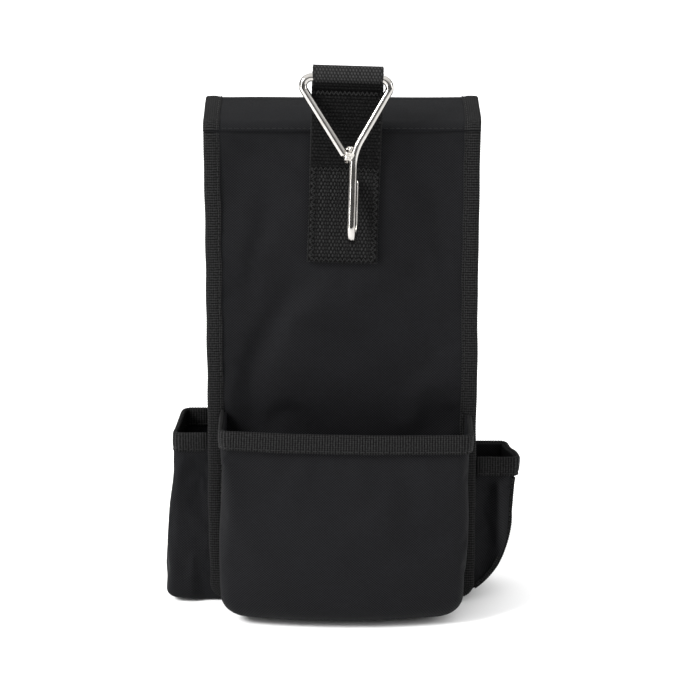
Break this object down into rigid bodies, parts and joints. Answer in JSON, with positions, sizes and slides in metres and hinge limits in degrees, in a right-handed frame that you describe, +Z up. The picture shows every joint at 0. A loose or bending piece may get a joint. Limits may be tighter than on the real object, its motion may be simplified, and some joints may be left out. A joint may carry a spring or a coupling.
{
  "type": "electrician tool pouch",
  "caption": "Cloth tool pouch with a flap-topped main compartment, front and side pockets, and a wire hook on a webbing loop for hanging it from a belt or rail.",
  "frame": {"origin": "centre of the main compartment's base, on the surface that the pouch stands on", "axes": "+Z up, -Y towards the front pocket and the hook, +X along the panels' width"},
  "size_m": [0.201, 0.0884, 0.3116],
  "materials": {
    "shell_cloth": "matte black plain-weave pack cloth",
    "lining_cloth": "thin matte lining cloth",
    "edge_tape": "ribbed grosgrain tape",
    "webbing": "coarse woven webbing with a slight sheen",
    "touch_tape": "hook-and-loop pile",
    "stiffener_board": "flat polyethylene board",
    "plated_steel": "bright nickel plate over bent wire"
  },
  "bodies": {
    "pouch": {"front_panel": "shell_cloth", "rear_panel": "shell_cloth", "body_gusset": "shell_cloth", "front_seam_tape": "edge_tape", "rear_seam_tape": "edge_tape", "compartment_rim_tape": "edge_tape", "rear_stiffener": "stiffener_board", "rear_lining": "lining_cloth", "front_pocket_face": "shell_cloth", "front_pocket_gusset": "shell_cloth", "front_pocket_rim_tape": "edge_tape", "left_pocket_front": "shell_cloth", "left_pocket_rear": "shell_cloth", "left_pocket_wall": "shell_cloth", "left_pocket_rim_tape": "edge_tape", "right_pocket_front": "shell_cloth", "right_pocket_rear": "shell_cloth", "right_pocket_wall": "shell_cloth", "right_pocket_rim_tape": "edge_tape", "right_pocket_seam_tape": "edge_tape", "closure_loop_tape": "touch_tape", "hook_strap": "webbing", "flap_root": "shell_cloth"},
    "flap_top": {"flap_top": "shell_cloth", "flap_top_side_tapes": "edge_tape"},
    "flap_tail": {"flap_tail": "shell_cloth", "flap_tail_edge_tape": "edge_tape", "closure_hook_tape": "touch_tape"},
    "hook": {"hook_wire": "plated_steel", "hook_weld_bead": "plated_steel"}
  },
  "joints": [
    {"name": "flap_lift", "type": "hinge", "parent": "pouch", "child": "flap_top", "pos_m": [0, -0.023, 0.2776], "axis": [1, 0, 0], "range_deg": [0, 88]},
    {"name": "flap_tail_lift", "type": "hinge", "parent": "flap_top", "child": "flap_tail", "pos_m": [0, 0.0245, 0.2794], "axis": [1, 0, 0], "range_deg": [0, 90]},
    {"name": "hook_swing", "type": "hinge", "parent": "pouch", "child": "hook", "pos_m": [0.00323, -0.0322, 0.30465], "axis": [-0.9995, 0, 0.0305], "range_deg": [0, 165]}
  ]
}
